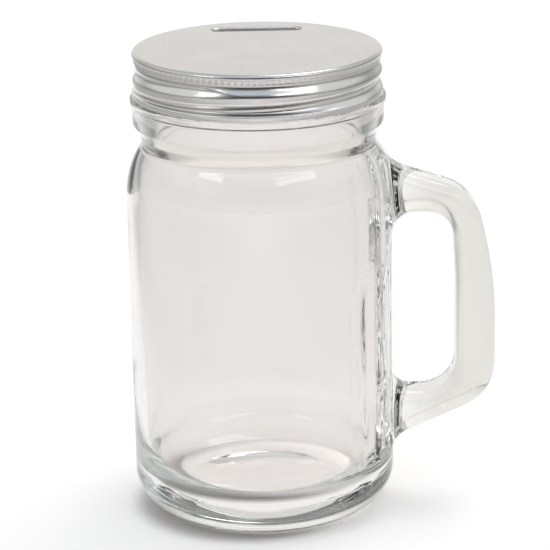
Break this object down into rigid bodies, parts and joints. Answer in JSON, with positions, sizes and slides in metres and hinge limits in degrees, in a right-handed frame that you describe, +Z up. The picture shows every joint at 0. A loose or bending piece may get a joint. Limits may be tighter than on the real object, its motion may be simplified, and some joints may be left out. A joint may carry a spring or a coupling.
{
  "type": "coin bank jar",
  "caption": "Clear glass mug-style jar with a loop handle, closed by a threaded sheet-metal screw lid with a coin slot in its top.",
  "frame": {"origin": "on the jar's axis, in the plane of the flat ring that the jar stands on", "axes": "+Z up along the jar's axis, +X towards the handle, +Y towards the side of the lid where the coin slot is at rest"},
  "size_m": [0.1082, 0.0778, 0.1389],
  "materials": {
    "glass": "clear, polished, faint green-grey in the thick parts",
    "lid_metal": "satin top, brighter rolled side",
    "liner": "matt off-white sealing compound"
  },
  "bodies": {
    "jar": {"glass_jar": "glass"},
    "liner": {"lid_liner": "liner"},
    "lid": {"lid_cap": "lid_metal"}
  },
  "joints": [
    {"name": "lid_rise", "type": "slide", "parent": "jar", "child": "liner", "axis": [0, 0, 1], "range_m": [0, 0.01587]},
    {"name": "lid_turn", "type": "hinge", "parent": "liner", "child": "lid", "pos_m": [0, 0, 0.1389], "axis": [0, 0, 1], "range_deg": [0, 900]}
  ],
  "couplings": [
    {"joint": "lid_turn", "follows": "lid_rise", "rad_per_m": 989.48}
  ]
}
